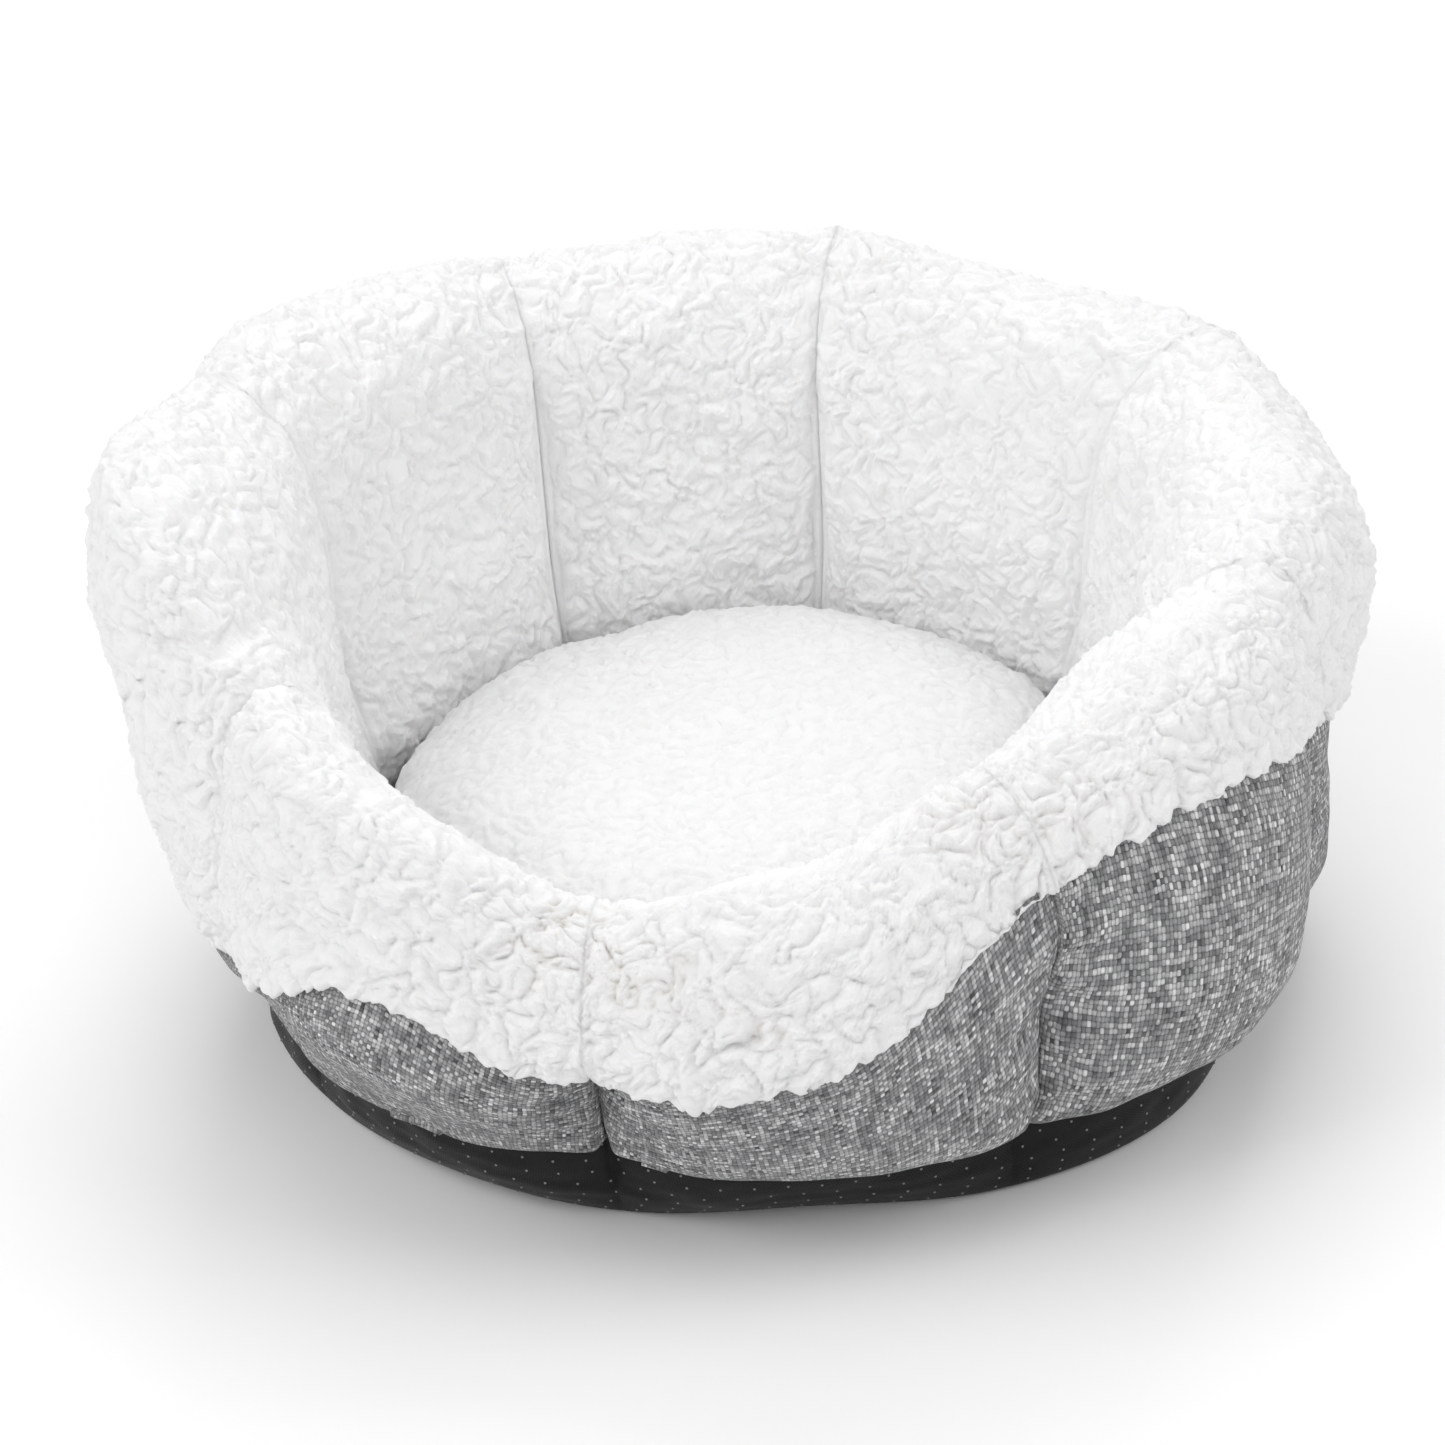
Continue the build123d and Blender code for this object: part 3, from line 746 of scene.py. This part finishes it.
def fleece_material(name, tone):
    """White pile, warmer in the partings, with fine fibres in the bump."""
    material, nodes, links, shader = new_material(name)
    place = nodes.new("ShaderNodeTexCoord").outputs["Object"]
    pile = node(nodes, "ShaderNodeAttribute", attribute_name="pile").outputs["Fac"]
    warm = node(nodes, "ShaderNodeAttribute", attribute_name="warm").outputs["Fac"]
    stops = ((0.0, 0.93), (0.30, 0.97), (0.6, 1.0))
    plain = ramp(nodes, [(at, (share * tone, share * tone, share * tone)) for at, share in stops])
    beige = ramp(nodes, [(0.0, (0.64, 0.59, 0.53)), (0.26, (0.86, 0.84, 0.81)), (0.5, (0.95, 0.945, 0.94))])
    links.new(pile, plain.inputs["Fac"])
    links.new(pile, beige.inputs["Fac"])
    colour = mix_colour(nodes, links, warm, plain.outputs["Color"], beige.outputs["Color"])
    cuff = node(nodes, "ShaderNodeAttribute", attribute_name="cuff").outputs["Fac"]
    # painted shade: the outer cuff is made 9% darker, as it gets less light from below
    cuff_painted_shade = math_node(nodes, links, "MULTIPLY_ADD", cuff, -0.09, 1.0)
    toned = node(nodes, "ShaderNodeVectorMath", operation="SCALE")
    links.new(colour, toned.inputs[0])
    links.new(cuff_painted_shade, toned.inputs["Scale"])
    links.new(toned.outputs[0], shader.inputs["Base Color"])
    fibres = noise(nodes, links, place, 900.0, 4.0, 0.65)
    strands = noise(nodes, links, place, 2600.0, 2.0, 0.6)
    both = math_node(nodes, links, "MULTIPLY_ADD", strands, 0.4, fibres)
    links.new(bump(nodes, links, both, 0.0008, 0.7), shader.inputs["Normal"])
    shader.inputs["Roughness"].default_value = 1.0
    shader.inputs["Specular IOR Level"].default_value = 0.1
    shader.inputs["Sheen Weight"].default_value = 0.3
    shader.inputs["Sheen Roughness"].default_value = 0.6
    shader.inputs["Subsurface Weight"].default_value = 0.4
    shader.inputs["Subsurface Radius"].default_value = (0.004, 0.0038, 0.0036)
    shader.inputs["Subsurface Scale"].default_value = 1.0
    return material


def weave_material(name, pitch, tones, depth=0.0005, rough=0.85, sheen=0.15):
    """Plain weave of yarns pitch mm wide, each yarn with its own tone and slubs, and painted shade where the
    yarns dip under.
    """
    material, nodes, links, shader = new_material(name)
    cloth = node(nodes, "ShaderNodeAttribute", attribute_name="cloth").outputs["Vector"]
    warp = node(nodes, "ShaderNodeTexNoise", noise_dimensions="3D")
    warp.inputs["Scale"].default_value = 0.09
    links.new(cloth, warp.inputs["Vector"])
    shift = node(nodes, "ShaderNodeVectorMath", operation="SCALE")
    links.new(warp.outputs["Color"], shift.inputs[0])
    shift.inputs["Scale"].default_value = 1.6
    moved = node(nodes, "ShaderNodeVectorMath", operation="ADD")
    links.new(cloth, moved.inputs[0])
    links.new(shift.outputs[0], moved.inputs[1])
    axes = nodes.new("ShaderNodeSeparateXYZ")
    links.new(moved.outputs[0], axes.inputs[0])
    u = math_node(nodes, links, "DIVIDE", axes.outputs[0], pitch)
    v = math_node(nodes, links, "DIVIDE", axes.outputs[1], pitch)
    yarn_u = math_node(nodes, links, "FLOOR", u)
    yarn_v = math_node(nodes, links, "FLOOR", v)
    sum_uv = math_node(nodes, links, "ADD", yarn_u, yarn_v)
    over = math_node(nodes, links, "PINGPONG", sum_uv, 1.0)
    in_u = math_node(nodes, links, "PINGPONG", u, 0.5)
    in_v = math_node(nodes, links, "PINGPONG", v, 0.5)
    round_u = math_node(nodes, links, "POWER", math_node(nodes, links, "MULTIPLY", in_u, 2.0), 0.5)
    round_v = math_node(nodes, links, "POWER", math_node(nodes, links, "MULTIPLY", in_v, 2.0), 0.5)
    # the yarn on top is full across itself and dips where it goes under
    u_top = math_node(nodes, links, "MULTIPLY", round_u,
                      math_node(nodes, links, "MULTIPLY_ADD", round_v, 0.5, 0.5))
    v_top = math_node(nodes, links, "MULTIPLY", round_v,
                      math_node(nodes, links, "MULTIPLY_ADD", round_u, 0.5, 0.5))
    height_mix = node(nodes, "ShaderNodeMix", data_type="FLOAT")
    for socket, value in zip((height_mix.inputs[0], height_mix.inputs[2], height_mix.inputs[3]),
                             (over, v_top, u_top)):
        links.new(value, socket)
    height = height_mix.outputs[0]

    def yarn_tone(index, along, seed):
        spot = node(nodes, "ShaderNodeCombineXYZ")
        links.new(index, spot.inputs[0])
        slub = math_node(nodes, links, "MULTIPLY", along, 0.09)
        links.new(slub, spot.inputs[1])
        spot.inputs[2].default_value = seed
        return noise(nodes, links, spot.outputs[0], 1.7, 2.0, 0.6)

    tone_u = yarn_tone(yarn_u, v, 3.0)
    tone_v = yarn_tone(yarn_v, u, 17.0)
    tone = node(nodes, "ShaderNodeMix", data_type="FLOAT")
    for socket, value in zip((tone.inputs[0], tone.inputs[2], tone.inputs[3]), (over, tone_v, tone_u)):
        links.new(value, socket)
    shade = ramp(nodes, [(0.30, tones[0]), (0.5, tones[1]), (0.68, tones[2])])
    links.new(tone.outputs[0], shade.inputs["Fac"])
    # painted shade: each yarn is darkened where it dips under a crossing yarn, down to 0.16 at the lowest
    painted_dip_shade = ramp(nodes, [(0.0, (0.16, 0.16, 0.16)), (0.62, (1.0, 1.0, 1.0))])
    links.new(height, painted_dip_shade.inputs["Fac"])
    place = nodes.new("ShaderNodeTexCoord").outputs["Object"]
    patch = noise(nodes, links, place, 16.0, 3.0)
    wear = mix_colour(nodes, links, patch, (0.93, 0.93, 0.93), (1.06, 1.06, 1.05))
    colour = mix_colour(nodes, links, 1.0, shade.outputs["Color"], painted_dip_shade.outputs["Color"], "MULTIPLY")
    colour = mix_colour(nodes, links, 1.0, colour, wear, "MULTIPLY")
    links.new(colour, shader.inputs["Base Color"])
    fuzz = noise(nodes, links, place, 1900.0, 3.0, 0.7)
    rough_height = math_node(nodes, links, "MULTIPLY_ADD", fuzz, 0.35, height)
    links.new(bump(nodes, links, rough_height, depth, 1.0), shader.inputs["Normal"])
    shader.inputs["Roughness"].default_value = rough
    shader.inputs["Specular IOR Level"].default_value = 0.25
    shader.inputs["Sheen Weight"].default_value = sheen
    shader.inputs["Sheen Roughness"].default_value = 0.5
    return material


def dot_material():
    material, nodes, links, shader = new_material("grip_dot_rubber")
    place = nodes.new("ShaderNodeTexCoord").outputs["Object"]
    patch = noise(nodes, links, place, 60.0, 2.0)
    links.new(mix_colour(nodes, links, patch, (0.16, 0.165, 0.17), (0.30, 0.305, 0.31)),
              shader.inputs["Base Color"])
    links.new(bump(nodes, links, noise(nodes, links, place, 2400.0), 0.0001), shader.inputs["Normal"])
    shader.inputs["Roughness"].default_value = 0.5
    return material


def thread_material(name, dark, light):
    material, nodes, links, shader = new_material(name)
    place = nodes.new("ShaderNodeTexCoord").outputs["Object"]
    twist = node(nodes, "ShaderNodeTexWave", bands_direction="DIAGONAL")
    twist.inputs["Scale"].default_value = 420.0
    twist.inputs["Distortion"].default_value = 1.5
    links.new(place, twist.inputs["Vector"])
    # painted shade: the thread is darker in the grooves of its twist, the same bands that the bump sinks
    links.new(mix_colour(nodes, links, twist.outputs["Fac"], dark, light), shader.inputs["Base Color"])
    links.new(bump(nodes, links, twist.outputs["Fac"], 0.0002), shader.inputs["Normal"])
    shader.inputs["Roughness"].default_value = 0.7
    return material


def stuffing_material():
    material, nodes, links, shader = new_material("fibre_stuffing")
    place = nodes.new("ShaderNodeTexCoord").outputs["Object"]
    fluff = noise(nodes, links, place, 160.0, 5.0, 0.7)
    links.new(mix_colour(nodes, links, fluff, (0.84, 0.84, 0.84), (0.95, 0.95, 0.95)),
              shader.inputs["Base Color"])
    links.new(bump(nodes, links, fluff, 0.003), shader.inputs["Normal"])
    shader.inputs["Roughness"].default_value = 1.0
    return material


def dress(obj, material):
    obj.data.materials.clear()
    obj.data.materials.append(material)


# ------------------------------------------------------------------ build
GREY_TONES = ((0.07, 0.072, 0.075), (0.33, 0.335, 0.34), (0.85, 0.855, 0.86))
BLACK_TONES = ((0.002, 0.002, 0.002), (0.004, 0.004, 0.004), (0.007, 0.007, 0.007))
PLAIN_TONES = ((0.72, 0.72, 0.71), (0.80, 0.80, 0.79), (0.86, 0.86, 0.85))
FLEECE = fleece_material("white_curly_fleece", 0.98)
# the cushion's copy of the same white fleece is darker, 0.90 against 0.98: painted shade, so that its well
# lit top matches the walls
CUSHION_FLEECE_PAINTED_SHADE = fleece_material("white_cushion_fleece_painted_shade", 0.90)
GREY = weave_material("grey_heather_weave", 1.45, GREY_TONES, 0.0006)
BLACK = weave_material("black_base_cloth", 0.7, BLACK_TONES, 0.00012, 0.45, 0.0)
PLAIN = weave_material("plain_white_cloth", 0.7, PLAIN_TONES, 0.0002)
WHITE_THREAD = thread_material("white_thread", (0.80, 0.79, 0.77), (0.93, 0.925, 0.91))
GREY_THREAD = thread_material("grey_thread", (0.16, 0.16, 0.16), (0.30, 0.30, 0.30))
BLACK_THREAD = thread_material("black_thread", (0.02, 0.02, 0.02), (0.06, 0.06, 0.06))


def finish_piece(obj, material, body, slot, *nodes):
    """Material and body of a piece, and the CAD nodes that it stands for, which are hidden; slot is not used.
    """
    dress(obj, material)
    if nodes:
        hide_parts(*nodes)
    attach(obj, body)


def build_wall():
    fleece, looks = wall_grid()
    cloth, up, length = panel_grid()
    for number, name in enumerate(CHANNELS):
        channel = make_channel(number, name, fleece, looks)
        finish_piece(channel, FLEECE, "tub", "white_fleece", f"lining_{name}", f"fill_{name}")
        panel, width, rise = make_panel(number, name, cloth, up, length)
        finish_piece(panel, GREY, "tub", "grey_weave", f"outer_{name}")


def build_base():
    points, along = base_grid()
    base = make_base(points, along)
    finish_piece(base, BLACK, "tub", "base_cloth", "base_fabric")
    finish_piece(make_dots(points, along), dot_material(), "tub", None)
    floor_cloth = make_floor_lining()
    finish_piece(floor_cloth, PLAIN, "tub", "floor_cloth", "floor_lining")


def build_cushion():
    top = make_cushion_top()
    finish_piece(top, CUSHION_FLEECE_PAINTED_SHADE, "cushion", "white_fleece", "cushion_top", "cushion_fill")
    under = make_cushion_underside()
    finish_piece(under, PLAIN, "cushion", "floor_cloth", "cushion_bottom")


def dress_cad_pieces():
    for name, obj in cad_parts.items():
        if name.startswith("thread_"):
            dress(obj, BLACK_THREAD if name == "thread_base" else GREY_THREAD)
        elif name == "cushion_seam":
            dress(obj, WHITE_THREAD)
        elif name == "floor_pad":
            dress(obj, stuffing_material())


build_wall()
build_base()
build_cushion()
dress_cad_pieces()


# ------------------------------------------------------------------ stage, light, camera
GROUND_SIDE = 12.0
WORLD_LIGHT = 0.3
LIGHT_SIZE = 1.8
LIGHTS = (
    ("left", (-2.0, -0.5, 1.7), 23),
    ("left_front", (-1.4, -1.5, 2.0), 10),
    ("top", (0.0, 0.0, 2.8), 10),
    ("back", (0.3, 1.8, 2.0), 27),
    ("right", (2.0, -0.4, 1.7), 21),
    ("front", (0.2, -2.2, 1.3), 11),
)


def make_stage():
    mesh = bpy.data.meshes.new("floor")
    half = 0.5 * GROUND_SIDE
    corners = [(-half, -half, 0), (half, -half, 0), (half, half, 0), (-half, half, 0)]
    mesh.from_pydata(corners, [], [(0, 1, 2, 3)])
    floor = bpy.data.objects.new("floor", mesh)
    bpy.context.scene.collection.objects.link(floor)
    material, _, _, shader = new_material("pale_floor")
    shader.inputs["Base Color"].default_value = (0.97, 0.97, 0.97, 1)
    shader.inputs["Roughness"].default_value = 0.9
    shader.inputs["Specular IOR Level"].default_value = 0.1
    dress(floor, material)


def area_light(name, place, size, power, colour=(1, 1, 1)):
    light = bpy.data.lights.new(name, "AREA")
    light.shape = "SQUARE"
    light.size = size
    light.energy = power
    light.color = colour
    obj = bpy.data.objects.new(name, light)
    obj.location = place
    obj.rotation_euler = (Vector((0, 0, 0.1)) - Vector(place)).to_track_quat("-Z", "Y").to_euler()
    bpy.context.scene.collection.objects.link(obj)


def make_light():
    for name, place, power in LIGHTS:
        area_light(name, place, LIGHT_SIZE, power)
    world = bpy.data.worlds.new("studio")
    world.use_nodes = True
    world.node_tree.nodes["Background"].inputs["Color"].default_value = (1, 1, 1, 1)
    world.node_tree.nodes["Background"].inputs["Strength"].default_value = WORLD_LIGHT
    bpy.context.scene.world = world
    bpy.context.scene.view_settings.view_transform = "Standard"


CAMERA_ELEVATION = 30.0
CAMERA_DISTANCE = 1.300
CAMERA_ROLL = 3.5
FOCAL_WIDTHS = 2.57301
TARGET = Vector((0, 0, 0.090))
SHIFT = (-0.0273, 0.0135)


def make_camera():
    th, ro = math.radians(CAMERA_ELEVATION), math.radians(CAMERA_ROLL)
    back = Vector((0, -math.cos(th), math.sin(th)))
    right = Vector((1, 0, 0))
    up = back.cross(right)
    cam_right = math.cos(ro) * right - math.sin(ro) * up
    cam_up = math.sin(ro) * right + math.cos(ro) * up
    data = bpy.data.cameras.new("camera")
    data.sensor_width = 36
    data.lens = 36 * FOCAL_WIDTHS
    data.shift_x, data.shift_y = SHIFT
    data.clip_end = 50
    camera = bpy.data.objects.new("camera", data)
    turn = Matrix((cam_right, cam_up, back)).transposed()
    camera.matrix_world = Matrix.Translation(TARGET + back * CAMERA_DISTANCE) @ turn.to_4x4()
    bpy.context.scene.collection.objects.link(camera)
    bpy.context.scene.camera = camera


make_stage()
make_light()
make_camera()
